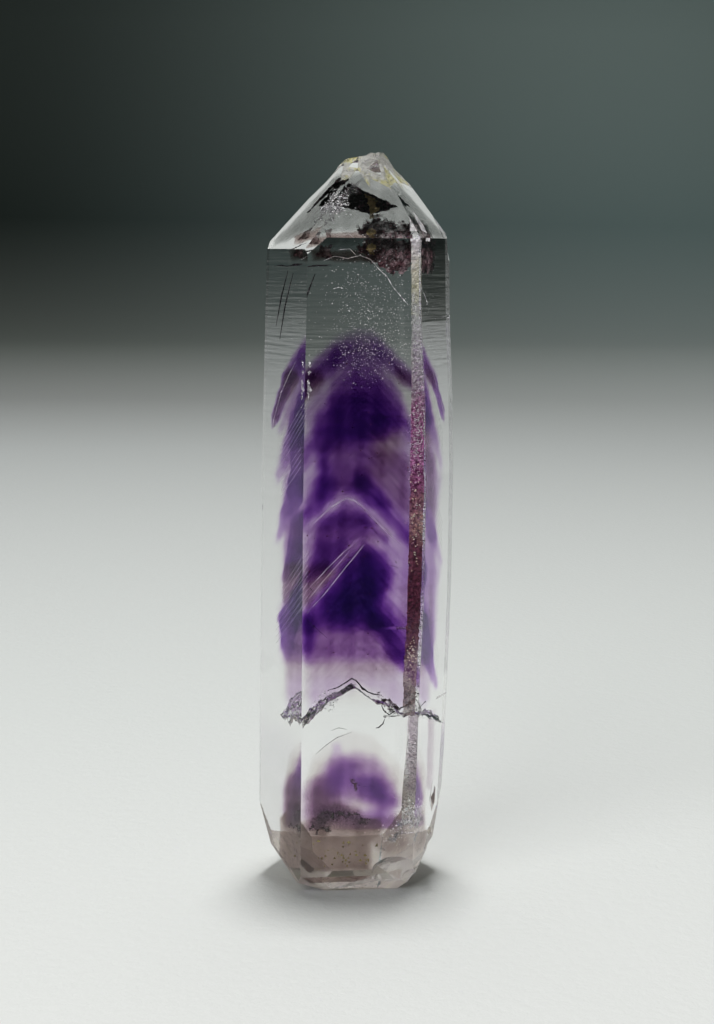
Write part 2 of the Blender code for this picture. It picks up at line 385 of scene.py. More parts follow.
# %% The outside
BROKEN_ABOVE = 66.9 * MM
LARGEST_BROKEN_FACE = 0.6 * MM * MM
CHIPPED_BELOW = 4.5 * MM
FOOT_BELOW = 8.0 * MM
FOOT_BEHIND = -4.6 * MM
LOOKS_DOWN = -0.12
SHOULDER = 62.0 * MM
BACK_RIGHT = Vector((math.cos(math.radians(30.0)), math.sin(math.radians(30.0)), 0.0))
SAME_WAY = 0.97
MERGE_WITHIN = 0.002 * MM
CLEAN, BROKEN, FOOT, STRIATED, CHIPPED = range(5)


def finish_of(face):
    """Pick the finish of one face by its place, its size and the way it looks."""
    place, small = face.center, face.area < LARGEST_BROKEN_FACE
    if small and place.z > BROKEN_ABOVE:
        return BROKEN
    if small and place.z < CHIPPED_BELOW:
        return CHIPPED
    if place.z < FOOT_BELOW and face.normal.z < LOOKS_DOWN and place.y > FOOT_BEHIND:
        return FOOT
    if place.z < SHOULDER and face.normal.dot(BACK_RIGHT) > SAME_WAY:
        return STRIATED
    return CLEAN


def crystal_skin():
    """A closed copy of the model's surface, with its five finishes."""
    node = bpy.data.objects[CRYSTAL_NODE]
    skin = bpy.data.objects.new("quartz_skin", node.data.copy())
    bpy.context.scene.collection.objects.link(skin)
    skin.matrix_world = node.matrix_world
    bpy.ops.object.select_all(action="DESELECT")
    skin.select_set(True)
    bpy.context.view_layer.objects.active = skin
    bpy.ops.object.transform_apply(location=True, rotation=True, scale=True)
    bpy.ops.object.mode_set(mode="EDIT")
    bpy.ops.mesh.select_all(action="SELECT")
    bpy.ops.mesh.remove_doubles(threshold=MERGE_WITHIN)
    bpy.ops.mesh.normals_make_consistent(inside=False)
    bpy.ops.object.mode_set(mode="OBJECT")
    bpy.ops.object.shade_flat()
    skin.data.materials.clear()
    for finish in (clear_quartz, broken_quartz, foot_quartz, striated_quartz, chipped_quartz):
        skin.data.materials.append(finish())
    for face in skin.data.polygons:
        face.material_index = finish_of(face)
    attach(skin, "root")
    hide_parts(CRYSTAL_NODE)
    return skin


skin = crystal_skin()
print("skin:", len(skin.data.polygons), "faces")

# %% [markdown]
# Zones of colour
#
# The violet of an amethyst sits in zones. Each zone is quartz that grew while iron was taken
# in, so it follows the shape the crystal had then: arches and roofs below one another, which
# collectors call phantoms. Their edges are soft, and some of them are smoky brown.
#
# A zone is not a thing of its own, only a deeper colour, so all violet zones are one closed
# body that is thick where the colour is deep and thin where it is pale. Light loses colour
# with every millimetre, just as it does in the stone. The body has no gloss of its own: it
# bends light by an index of 1. Each outline below lists corners in millimetres, across and
# up, with the thickness it adds and the softness of its edge.

# %% Outlines of the zones
# Each zone: the thickness that it adds, the softness of its edge, and its corners.
VIOLET_ZONES = {
    "body": (0.74, 1.4, ((-0.3, 52.6), (-2.6, 51), (-4.6, 47.6), (-6.3, 44), (-5.2, 44.8), (-5.4, 42.4),
        (-6.6, 39), (-5.4, 39.8), (-5.6, 37), (-6.6, 33.4), (-5.3, 34.2), (-5.2, 30), (-6, 26.4),
        (-5, 26.8), (-5, 22.2), (5.2, 22), (6.2, 24.5), (5.6, 27), (6.6, 30.5), (5.4, 32), (5.6, 36),
        (6.5, 39.5), (5.2, 40.5), (4.6, 45), (3, 49.6))),
    "arch": (0.89, 1.5, ((-5.3, 49.3), (-4.2, 50.7), (-3, 51.9), (-2, 52.8), (-0.3, 53.4), (1, 53.2),
        (2, 52.4), (3, 51.2), (4, 50), (5.3, 48.8), (5.3, 48), (4, 48.9), (3, 49.9), (1.8, 50.2),
        (0, 50.3), (-1.5, 50.2), (-3, 49.4), (-4, 48.6), (-5.3, 47.4))),
    "arch left limb": (1.63, 1.7, ((-1.6, 52.1), (-3, 51.5), (-4.3, 50.3), (-5.3, 49.2), (-5.3, 48),
        (-4.3, 48.8), (-3.6, 49.3), (-2.6, 50.2), (-1.7, 50.9))),
    "arch right limb": (1.41, 1.6, ((1.2, 52.3), (2.4, 51.6), (3.6, 50.4), (5.3, 48.9), (5.3, 48.2),
        (3.6, 49.5), (2.4, 50.3), (1.4, 51))),
    "left blade": (2.37, 0.3, ((-5.1, 49.4), (-6.3, 47.6), (-7.3, 45.2), (-7.5, 44.2), (-6.6, 45.2),
        (-5.1, 47.6))),
    "right blade": (1.93, 0.3, ((5.1, 49), (6.2, 47.5), (7.1, 45.6), (7.2, 44.8), (6.4, 45.6),
        (5.1, 48))),
    "second": (1.93, 2, ((-0.2, 50.3), (-1.6, 49.6), (-2.4, 48.4), (-3.1, 46.6), (-4.1, 44.6), (-5.6, 42),
        (-6.4, 39.8), (-5.2, 41.4), (-4.5, 42.2), (-3.4, 43), (-2.8, 43.3), (1, 43.3), (2.6, 43.6),
        (4, 44.4), (5.4, 42.8), (6.4, 40.8), (5.2, 43.6), (4.5, 45.2), (3.8, 46.2), (2.9, 47.8),
        (1.9, 49), (0.9, 50))),
    "second deep": (2.44, 2.4, ((-2.7, 46.7), (0.5, 47.7), (2.2, 47.1), (3.1, 45.8), (3, 44.7),
        (1.8, 43.9), (0.8, 43.3), (-3.1, 43.1), (-3.9, 44))),
    "below second": (1.48, 2, ((-3.5, 43.3), (0.6, 43.3), (1.3, 41.5), (0.8, 40.3), (1.2, 39.6),
        (0.2, 39.4), (-1, 38.4), (-2.2, 38.1), (-3.8, 38.2), (-3.6, 41))),
    "left strip": (2.52, 1.6, ((-2.9, 43), (-3.2, 41.5), (-2.9, 40), (-2.3, 38.6), (-2.6, 37.7),
        (-3.8, 36.6), (-5.5, 35.4), (-6.2, 34), (-5.6, 36.2), (-4.6, 37.6), (-4.2, 38.8), (-3.9, 39.8),
        (-3.8, 41.2), (-3.6, 42.4))),
    "third right limb": (2.07, 1.5, ((-0.3, 40), (0.6, 39.9), (1.4, 38.9), (2.6, 37.4), (3.8, 35.6),
        (5.4, 33.8), (6.8, 31.2), (5.4, 32.6), (3.8, 34.2), (2.4, 35.8), (1, 37.2), (-0.2, 38.2),
        (-1, 38.5))),
    "third right limb top": (1.93, 1.8, ((-0.3, 39.8), (0.6, 39.7), (1.4, 38.7), (2.4, 37.2), (1.4, 37),
        (0.4, 37.8), (-0.8, 38.5))),
    "middle haze": (0.59, 1.8, ((0.4, 43.2), (2.5, 42.3), (5, 41), (5, 34), (3, 36.6), (1.2, 39))),
    "third body": (1.63, 1.4, ((-1.1, 37.4), (-2.6, 36.4), (-4, 35.2), (-4.2, 33.6), (-4.3, 32),
        (-5.4, 29.8), (-2.6, 31.2), (-0.8, 33), (0.6, 34), (1.6, 34), (2.6, 33.6), (1.2, 35.5),
        (0, 36.8))),
    "third body deep": (0.96, 1, ((-3.7, 35.7), (-2.4, 36.2), (0.7, 36.1), (1.5, 35.2), (0.8, 34.8),
        (-3.3, 34.7))),
    "red violet": (1.41, 1.2, ((-4, 33.7), (-1.2, 33.8), (-1.6, 32.5), (-2.6, 31), (-4.8, 29.8),
        (-4.4, 31.8))),
    "fourth": (2.67, 1.7, ((0.6, 33.4), (-0.6, 32.3), (-1.6, 31.1), (-3.2, 28.9), (-5.2, 26.5),
        (-5.8, 24.8), (-5.2, 25), (-3.2, 25.2), (1.4, 25.2), (2.4, 25.8), (1.5, 27.8), (2.6, 29.4),
        (3, 30.4), (2.3, 31.9), (1.4, 32.9))),
    "fourth deep": (3.26, 2.4, ((0.6, 32.2), (-0.4, 31.2), (-2.4, 28.8), (-3, 26.8), (-2.2, 25.6),
        (1.8, 25.8), (1.4, 28), (2.6, 29.4), (2.4, 30.8), (1.4, 32))),
    "fourth right limb": (3.26, 1.5, ((1.5, 28.4), (2.4, 27.2), (3.4, 25.8), (4.5, 23.8), (5.2, 22.2),
        (6.6, 19), (5.6, 19.8), (4.9, 20.7), (4.2, 21.3), (3.2, 22.6), (2.2, 24.2), (1.2, 25.4))),
    "fourth left end": (2.52, 1.4, ((-5.2, 26.2), (-5.9, 24.4), (-5.6, 22.8), (-5, 22.9), (-4.5, 23.3),
        (-4.2, 24.4), (-4, 25.8))),
    "mauve": (0.74, 1.8, ((-5, 25.6), (2.6, 25.8), (3, 23.6), (4.2, 22), (4.2, 21.9), (-5.4, 21.9))),
    "right pale": (0.3, 1, ((2.2, 33.6), (5.6, 32.2), (6.4, 29), (6.2, 24), (5, 22), (4.4, 23.6),
        (3.4, 25.4), (1.4, 28.8), (3.1, 30.2))),
    "pink wedge": (0.74, 0.8, ((1, 29.3), (2, 28.9), (5.4, 25.2), (5.4, 23), (3.6, 25.6), (2.4, 27.2))),
    "left margin": (0.3, 1.8, ((-5.2, 41), (-4.2, 37), (-3.9, 33), (-4.3, 27.6), (-5.4, 25), (-5.4, 36))),
    "pink clear": (0.37, 1.8, ((-4.9, 22.4), (4.9, 22.4), (4.9, 17.8), (4, 17.2), (0, 19.6),
        (-4.6, 17.2))),
    "lower": (0.96, 2, ((-3.9, 9.4), (-3, 11), (-2, 12), (-0.6, 12.3), (1.4, 12.1), (2.4, 11.2),
        (3.3, 9.6), (3.8, 7.8), (3.4, 6.8), (2.5, 6.3), (1.6, 6.9), (0.4, 8), (-0.8, 8), (-2.6, 8.4))),
    "lower right deep": (2.37, 2.2, ((-0.2, 9.7), (0.9, 10.2), (2.2, 9.9), (3.1, 8.9), (3.5, 7.7),
        (2.9, 7.4), (1.9, 8), (0.9, 8.4))),
    "lower left deep": (1.63, 2.2, ((-2.9, 9.9), (-2.4, 11.1), (-1.2, 11.7), (-0.2, 11.2), (-0.4, 10.2),
        (-1.3, 9.2), (-2.4, 8.9))),
    "lower left mauve": (1.11, 2, ((-4.9, 8.6), (-4.2, 9.8), (-2.6, 10), (-1.8, 7.6), (-3, 6.2),
        (-4.8, 6.6))),
    "crust mauve": (1.41, 1.6, ((-4.3, 6), (-3.4, 6.9), (-1.2, 7.5), (0.6, 6.6), (2.4, 6.6), (3.6, 6.2),
        (4.4, 5.4), (2, 5.2), (0.4, 5.3), (-2, 5.8), (-4.4, 5.4))),
    # The strip foot zone carries the strip's painted reflection on down towards the foot.
    "strip foot": (0.19, 0.5, ((5.05, 16.6), (6.5, 16.4), (6.4, 8.4), (5.05, 8.8))),
    "foot tint": (0.11, 0.9, ((-5, 5.6), (3.6, 5.6), (3.2, 5), (-5, 5))),
    "lower streak": (0.37, 0.8, ((-2.3, 13.7), (-1.8, 13.7), (-1.2, 11.9), (-2.6, 11.9))),
}

SMOKY_ZONES = {
    "haze": (0.22, 2, ((-0.3, 53), (-3.4, 51), (-5.6, 48), (-6.4, 40), (-5.8, 24), (-5.4, 18), (5.2, 18),
        (6.2, 30), (6, 42), (5.2, 48), (3, 51))),
    "arch left end": (2.07, 1, ((-4.9, 49.8), (-3.9, 49.7), (-3.5, 48.8), (-4.3, 47.9), (-5.4, 47),
        (-5.6, 48.4))),
    "left blade": (1.93, 0.3, ((-5.5, 48.8), (-6.3, 47.3), (-7.2, 45.2), (-7.4, 44.4), (-6.7, 45.2),
        (-5.6, 47.1))),
    "arch right end": (1.63, 1, ((3.3, 50.3), (5.2, 49), (5.2, 48.1), (3.6, 49.1))),
    "grey patch": (1.78, 2.2, ((1.3, 43.7), (3.4, 43.9), (3.8, 42.8), (3, 41.5), (1.8, 41.8))),
    "right haze": (1.04, 2, ((1, 42.4), (3.4, 41.8), (4.9, 41.2), (4.9, 36), (3, 37.6), (1.4, 39.6))),
    "left brown": (1.33, 1, ((-5.2, 31), (-3, 31.4), (-2.2, 30.6), (-4.9, 27.4), (-5.4, 27.6))),
    "right edge": (0.37, 0.8, ((4, 29), (5, 29.6), (5, 20), (4.2, 24))),
    "lower left": (1.93, 2.2, ((-4.9, 8.4), (-4.3, 9.6), (-3.2, 10), (-2.4, 8.6), (-1.6, 7.2),
        (-3.2, 5.6), (-4.7, 6.2))),
    "crust": (2.52, 1.3, ((-4.3, 6), (-3.4, 6.8), (-1.2, 7.4), (-0.2, 7.1), (0.5, 6.2), (2.1, 5.7),
        (2, 5.2), (0.4, 5), (-2, 5.6), (-3.2, 4.6), (-4.6, 5))),
    "foot": (2.22, 0.9, ((-5.6, 5.8), (-2, 5.8), (2.4, 5.6), (1.5, 3.6), (1.2, 0.2), (-5.6, 0.2))),
    # The strip foot zone carries the strip's painted reflection on down towards the foot.
    "strip foot": (0.59, 0.5, ((5.05, 16.6), (6.5, 16.4), (6.4, 8.4), (5.05, 8.8))),
    "foot right": (1.19, 1.2, ((2, 5.8), (4.6, 6.6), (5.2, 3.2), (3.4, 2.4), (1.6, 3.6))),
    "below second": (0.74, 2.4, ((-3.2, 43), (1.4, 43), (2, 39.6), (0.4, 38.2), (-2.4, 38.2))),
    "third": (0.67, 2.4, ((-4.4, 34.6), (-1, 37), (2.4, 34.4), (1, 32.6), (-2.6, 29.6), (-5, 28))),
    "mauve": (0.74, 2.4, ((-4.6, 25.6), (2.4, 25.6), (4, 22), (3, 20.4), (-4.6, 20.6))),
    "lower all": (0.67, 2.2, ((-4.4, 10.4), (-2.6, 12.4), (1.5, 12.4), (3.6, 10.4), (4.4, 7.8), (3, 5.6),
        (-4.2, 5.6))),
    "shoulder": (2.81, 0.5, ((-4.8, 60.9), (1.6, 60.9), (1.3, 60.2), (0.4, 59.9), (-1.4, 60), (-3, 60.1),
        (-4.6, 60))),
    "dome": (0.22, 0.6, ((-4.9, 10.6), (-4.2, 12.5), (-3, 13.5), (-2, 14.3), (-0.5, 14.8), (1.5, 14.4),
        (3.5, 12.4), (4.8, 10.4), (4.9, 7), (-4.9, 7))),
}

TIP_ZONES = {
    "tip": (1.9, 1.2, ((-8, 61.2), (-4.6, 64.4), (-2.2, 67), (0.8, 67.9), (3.4, 66.6), (5.2, 64.6),
        (7.4, 62.4), (7.4, 61.2))),
}
print("zones:", len(VIOLET_ZONES), "violet,", len(SMOKY_ZONES), "smoky,", len(TIP_ZONES), "grey")

# %% Thickness of the colour at a place
GROWTH_BAND_CENTRE = 0.2
GROWTH_BAND_SLOPE = 1.15
GROWTH_BAND_SHARE = 0.15
CLOUD_SHARE = 0.16
# Low down, the colour is paler beyond this distance from the middle.
PALE_BEYOND = 4.9
PALE_BELOW = 44.0
PALE_SHARE = 0.5


def signed_distance(x, z, outline):
    """How far places lie inside a closed outline: negative outside."""
    nearest = np.full(x.shape, 1e9)
    inside = np.zeros(x.shape, bool)
    for (x0, z0), (x1, z1) in zip(outline, outline[1:] + outline[:1]):
        along_x, along_z = x1 - x0, z1 - z0
        share = ((x - x0) * along_x + (z - z0) * along_z) / (along_x ** 2 + along_z ** 2)
        share = np.clip(share, 0.0, 1.0)
        nearest = np.minimum(nearest, np.hypot(x - x0 - share * along_x, z - z0 - share * along_z))
        if along_z != 0.0:
            crosses = (z0 > z) != (z1 > z)
            inside ^= crosses & (x < x0 + along_x * (z - z0) / along_z)
    return np.where(inside, nearest, -nearest)


def wander(x, z):
    """Shift places a little, so that no outline is quite straight."""
    shift_x = 0.07 * np.sin(1.9 * z + 0.7 * x) + 0.04 * np.sin(4.3 * z - 1.7 * x + 1.0)
    shift_z = 0.07 * np.sin(1.7 * x + 0.4 * z) + 0.04 * np.sin(3.9 * x + 1.1 * z + 2.0)
    return x + shift_x, z + shift_z


def growth_bands(x, z):
    """Fine banding that runs along the roofs of the phantoms, and clouds across it."""
    level = z + GROWTH_BAND_SLOPE * np.sqrt((x - GROWTH_BAND_CENTRE) ** 2 + 0.5)
    wave = 0.5 * np.sin(6.1 * level + 0.8 * np.sin(1.3 * level))
    wave += 0.4 * np.sin(9.7 * level + 1.7)
    wave += 0.3 * np.sin(11.0 * z + 1.3 * np.sin(0.8 * x)) * np.sin(2.3 * z + 0.5)
    cloud = np.sin(1.3 * x + 0.9 * z) * np.sin(1.9 * x - 0.7 * z + 1.1)
    cloud += 0.6 * np.sin(3.1 * x + 1.7 * z + 2.0) * np.sin(2.2 * z - 2.7 * x)
    bands = GROWTH_BAND_SHARE * wave * np.clip((z - 17.0) / 4.0, 0.0, 1.0)
    return 1.0 + bands + CLOUD_SHARE * cloud


def colour_thickness(x, z, zones):
    """The summed thickness of all zones at some places, in millimetres."""
    total = np.zeros(x.shape)
    warped_x, warped_z = wander(x, z)
    for depth, softness, outline in zones.values():
        edge = np.clip(0.5 + signed_distance(warped_x, warped_z, outline) / softness, 0.0, 1.0)
        total += depth * edge * edge * (3.0 - 2.0 * edge)
    outer = np.clip(np.abs(x) - PALE_BEYOND, 0.0, 1.0) * np.clip(0.5 * (PALE_BELOW - z), 0.0, 1.0)
    return total * growth_bands(x, z) * (1.0 - PALE_SHARE * outer)


# %% [markdown]
# From outlines to a body
#
# A flat grid is stood upright in the middle of the crystal. Cells without colour are removed,
# the rest is given two sides, and each side is moved out by half the thickness of the colour.
# Thirty overlapping bodies would also do, but each adds surfaces that light has to cross, and
# hard edges. One body has few surfaces, and its edges are as soft as the outlines ask.

# %% Helpers for grids
def read_points(piece):
    """The places of a mesh's points, one row each."""
    points = np.empty(len(piece.data.vertices) * 3)
    piece.data.vertices.foreach_get("co", points)
    return points.reshape(-1, 3)


def flat_grid(name, left, right, low, high, cell):
    """Add a grid for a span, and give back its object and the places of its points."""
    columns = max(2, int((right - left) / cell))
    rows = max(2, int((high - low) / cell))
    bpy.ops.object.select_all(action="DESELECT")
    bpy.ops.mesh.primitive_grid_add(x_subdivisions=columns, y_subdivisions=rows, size=1.0)
    grid = bpy.context.object
    grid.name = name
    points = read_points(grid)
    across = left + (points[:, 0] + 0.5) * (right - left)
    up = low + (points[:, 1] + 0.5) * (high - low)
    return grid, across, up


def delete_faces(piece, unwanted):
    """Delete the faces that are marked."""
    bpy.ops.object.mode_set(mode="EDIT")
    bpy.ops.mesh.select_mode(type="FACE")
    bpy.ops.mesh.select_all(action="DESELECT")
    bpy.ops.object.mode_set(mode="OBJECT")
    piece.data.polygons.foreach_set("select", unwanted)
    bpy.ops.object.mode_set(mode="EDIT")
    bpy.ops.mesh.delete(type="FACE")
    bpy.ops.object.mode_set(mode="OBJECT")


# %% Bodies of colour
ZONE_CELL = 0.125
THINNEST_COLOUR = 0.02
HALF_WIDTH_OF_ZONES = 7.8
# The colour thins out where the prism does. From its side edge inwards the prism's half depth
# grows by this much a millimetre, up to its full value, and the colour fills 1.9 such halves.
HALF_WIDTH_OF_PRISM = 8.7
SIDE_FACE_SLOPE = 1.73
HALF_DEPTH_OF_PRISM = 5.6
FILLED_HALVES = 1.9


def room_for_colour(x):
    """The thickest that the colour may be at a distance from the middle."""
    depth = np.clip((HALF_WIDTH_OF_PRISM - np.abs(x)) * SIDE_FACE_SLOPE, 0.0, HALF_DEPTH_OF_PRISM)
    return FILLED_HALVES * depth


def zone_body(name, zones, low, high, material):
    """One closed body whose thickness follows the colour of its zones."""
    body, x, z = flat_grid(name, -HALF_WIDTH_OF_ZONES, HALF_WIDTH_OF_ZONES, low, high, ZONE_CELL)
    placed = np.stack([x * MM, np.zeros(len(x)), z * MM], axis=1)
    body.data.vertices.foreach_set("co", placed.ravel())
    thickness = np.minimum(colour_thickness(x, z, zones), room_for_colour(x))
    pale = thickness < THINNEST_COLOUR
    delete_faces(body, [all(pale[corner] for corner in face.vertices) for face in body.data.polygons])

    modifier = body.modifiers.new("two sides", "SOLIDIFY")
    modifier.thickness = 0.5 * THINNEST_COLOUR * MM
    modifier.offset = 0.0
    bpy.ops.object.modifier_apply(modifier="two sides")
    points = read_points(body)
    x, z = points[:, 0] / MM, points[:, 2] / MM
    thickness = np.clip(colour_thickness(x, z, zones), THINNEST_COLOUR, room_for_colour(x))
    points[:, 1] = np.sign(points[:, 1]) * 0.5 * thickness * MM
    body.data.vertices.foreach_set("co", points.ravel())
    body.data.update()
    bpy.ops.object.mode_set(mode="EDIT")
    bpy.ops.mesh.select_all(action="SELECT")
    bpy.ops.mesh.normals_make_consistent(inside=False)
    bpy.ops.object.mode_set(mode="OBJECT")
    bpy.ops.object.shade_smooth()
    body.data.materials.append(material)
    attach(body, "root")
    return body


# %% [markdown]
# The colours themselves
#
# Amethyst takes green out of white light most, then red, then blue. Smoky quartz takes more
# of blue and green than of red. Each is a plain absorbing inside with a clear surface, so the
# colour deepens with the way that light goes, as it does in the stone. Paint couldn't do that.

# %% Colours of the zones
def coloured_inside(name, colour, density):
    """A clear surface that bends nothing, round an inside that takes colour out of light."""
    material, tree, shader = new_finish(name, {**CLEAR, "IOR": 1.0})
    absorbing = {"Color": (*colour, 1.0), "Density": density}
    inside = add_node(tree, "ShaderNodeVolumeAbsorption", inputs=absorbing)
    output = shader.outputs[0].links[0].to_node
    tree.links.new(inside.outputs[0], output.inputs["Volume"])
    return material


violet = coloured_inside("amethyst_violet", (0.45, 0.05, 0.68), 1200.0)
smoky = coloured_inside("smoky_brown", (0.37, 0.21, 0.17), 700.0)
grey = coloured_inside("grey_haze", (0.44, 0.45, 0.44), 900.0)
zone_bodies = (
    zone_body("violet_zones", VIOLET_ZONES, 5.0, 54.5, violet),
    zone_body("smoky_zones", SMOKY_ZONES, 0.9, 62.4, smoky),
    zone_body("tip_haze", TIP_ZONES, 60.4, 67.8, grey),
)
for body in zone_bodies:
    print(body.name, len(body.data.polygons), "faces")

# %% [markdown]
# Veils, hollows and cracks
#
# Three other things catch the eye inside the stone. Healed cracks hang in it as veils: thin,
# crumpled skins that glitter like foil. Hollows under the tip are lined with dark, purplish
# brown. Fine cracks are hairlines, dark against the light and white where they catch it.
#
# A veil is a patch of a grid with a ragged outline, crumpled by noise. Places are given in
# the crystal's middle plane, where they are easy to read from the front. If a thing lies
# nearer to the eye, it slides along the line of sight, which glass bends by its index.

# %% Placing things inside
UNDER_SIDE_FACE = 7.5
# Seen through a side face, the line of sight runs this way inside, and nears the face by this.
SIDE_VIEW = Vector((0.400, 0.916))
SIDE_VIEW_CLOSING = 0.804
# A patch's grid reaches this far past its outline, and a line narrows to this share at its ends.
PATCH_MARGIN = 0.2
END_WIDTH = 0.35


def slide_along_view(x, z, y):
    """Move a place of the middle plane to the depth y, along the line of sight in the quartz."""
    eye = camera.location / MM
    way = Vector((x - eye.x, -eye.y, z - eye.z)).normalized() / QUARTZ_IOR
    forward = math.sqrt(1.0 - way.x ** 2 - way.z ** 2)
    return x + y * way.x / forward, z + y * way.z / forward


def slide_to_side(x, z, side):
    """Move a place of the middle plane to just under a side face, along that face's line of sight."""
    way_back = (UNDER_SIDE_FACE - math.cos(math.radians(30.0)) * abs(x)) / SIDE_VIEW_CLOSING
    rise = way_back * (EYE_HEIGHT / MM - z) / (VIEW_DISTANCE / MM * QUARTZ_IOR)
    return x + side * SIDE_VIEW.x * way_back, -SIDE_VIEW.y * way_back, z + rise


def rough(x, y, z, scale):
    """Smooth random value of a place, about -1 to 1."""
    return noise.fractal(Vector((x * scale, y * scale, z * scale)), 0.8, 2.1, 3)


def patch(name, outline, y, material, cell=0.12, ragged=0.0, crumple=0.0, crumple_scale=1.6):
    """A thin crumpled skin inside an outline of the middle plane, at about the depth y."""
    xs = [corner[0] for corner in outline]
    zs = [corner[1] for corner in outline]
    left, right = min(xs) - PATCH_MARGIN, max(xs) + PATCH_MARGIN
    low, high = min(zs) - PATCH_MARGIN, max(zs) + PATCH_MARGIN
    skin_patch, x, z = flat_grid(name, left, right, low, high, cell)
    fray = np.array([rough(a, 3.0, b, 1.7) for a, b in zip(x, z)])
    kept = signed_distance(x, z, outline) + ragged * fray > 0.0
    for index, vertex in enumerate(skin_patch.data.vertices):
        depth = y + crumple * rough(x[index], y, z[index], crumple_scale)
        seen_x, seen_z = slide_along_view(x[index], z[index], y)
        vertex.co = (seen_x * MM, depth * MM, seen_z * MM)
    faces = skin_patch.data.polygons
    delete_faces(skin_patch, [not all(kept[corner] for corner in face.vertices) for face in faces])
    skin_patch.data.materials.append(material)
    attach(skin_patch, "root")
    print(name, len(faces), "faces")
    return skin_patch


def finish_piece(name, mesh, material):
    """Turn a mesh that was built point by point into a piece of the crystal."""
    data = bpy.data.meshes.new(name)
    mesh.to_mesh(data)
    mesh.free()
    piece = bpy.data.objects.new(name, data)
    bpy.context.scene.collection.objects.link(piece)
    data.materials.append(material)
    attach(piece, "root")
    print(name, len(data.polygons), "faces")
    return piece


def thread(name, lines, material, width=0.06, y=-2.0, side=0):
    """Fine cracks as one mesh of narrow ribbons that face the front, or lie under a side face."""
    mesh = bmesh.new()
    for line in lines:
        last = None
        for number, (x, z) in enumerate(line):
            before = line[max(0, number - 1)]
            after = line[min(len(line) - 1, number + 1)]
            along = Vector((after[0] - before[0], 0.0, after[1] - before[1])).normalized()
            across = Vector((-along.z, 0.0, along.x))
            taper = 1.0 if 0 < number < len(line) - 1 else END_WIDTH
            if side:
                middle = Vector(slide_to_side(x, z, side))
            else:
                seen_x, seen_z = slide_along_view(x, z, y)
                middle = Vector((seen_x, y + 0.15 * rough(x, y, z, 2.0), seen_z))
            pair = [
                mesh.verts.new((middle + across * width * taper * 0.5) * MM),
                mesh.verts.new((middle - across * width * taper * 0.5) * MM),
            ]
            if last:
                mesh.faces.new((last[0], pair[0], pair[1], last[1]))
            last = pair
    return finish_piece(name, mesh, material)


# %% Finishes of the inclusions
def foil_finish(name, colour, roughness, see_through):
    """A healed crack: it mirrors light like crumpled foil and is open in places."""
    look = {"Base Color": (*colour, 1.0), "Roughness": roughness, "Metallic": 1.0}
    material, tree, shader = new_finish(name, look)
    fine = grain(tree, 900.0, 4.0, 0.65)
    tree.links.new(spread(tree, fine, 0.42, 0.58, 1.0 - see_through, 1.0), shader.inputs["Alpha"])
    add_bump(tree, shader, fine, 1.0, 0.0006)
    return material


def hollow_finish(name, dark, light, amount, see_through=0.0, scale=1100.0):
    """The dark lining of a hollow, glossy and cracked, with lighter grains in it."""
    material, tree, shader = new_finish(name, {"Roughness": 0.4, "Specular IOR Level": 0.35})
    fine = grain(tree, scale, 4.0, 0.7)
    start = 1.0 - amount
    lining = tint(tree, fine, ((start - 0.08, dark), (start + 0.04, light)))
    tree.links.new(lining, shader.inputs["Base Color"])
    place = add_node(tree, "ShaderNodeTexCoord")
    cells = add_node(tree, "ShaderNodeTexVoronoi", {"feature": "F1"}, {"Scale": 1500.0})
    tree.links.new(place.outputs["Object"], cells.inputs["Vector"])
    add_bump(tree, shader, cells.outputs["Distance"], 1.0, 0.0005)
    if see_through:
        tree.links.new(spread(tree, fine, 0.42, 0.60, 1.0, 1.0 - see_through), shader.inputs["Alpha"])
    return material


silver_foil = foil_finish("silver_veil", (0.92, 0.91, 0.93), 0.16, 0.75)
white_line = hollow_finish("white_hairline", (0.90, 0.88, 0.92), (0.97, 0.96, 0.98), 0.5, 0.6)
hairline = hollow_finish("hairline_crack", (0.018, 0.014, 0.018), (0.14, 0.11, 0.12), 0.25)
dark_lining = hollow_finish("dark_lining", (0.008, 0.004, 0.006), (0.14, 0.07, 0.09), 0.40)
smoky_lining = hollow_finish("smoky_lining", (0.05, 0.025, 0.03), (0.16, 0.09, 0.11), 0.45, 0.75)
brown_lining = hollow_finish("brown_lining", (0.10, 0.045, 0.055), (0.62, 0.42, 0.46), 0.42, 0.5)
tan_lining = hollow_finish("tan_lining", (0.30, 0.22, 0.10), (0.78, 0.66, 0.28), 0.42, 0.75)
crust_lining = hollow_finish("brown_crust", (0.06, 0.022, 0.034), (0.32, 0.17, 0.21), 0.45, 0.95)
print("finishes of the inclusions:", len(bpy.data.materials), "materials so far")

# %% [markdown]
# Hollows under the tip
#
# A dark diamond hangs below the break, with a tan and yellow heart. Under it lies a larger
# brown hollow that reaches down into the prism. What is seen of a hollow is only its lining, so
# each is an open skin with a dark, glossy finish, and the brown one has a second skin behind it.

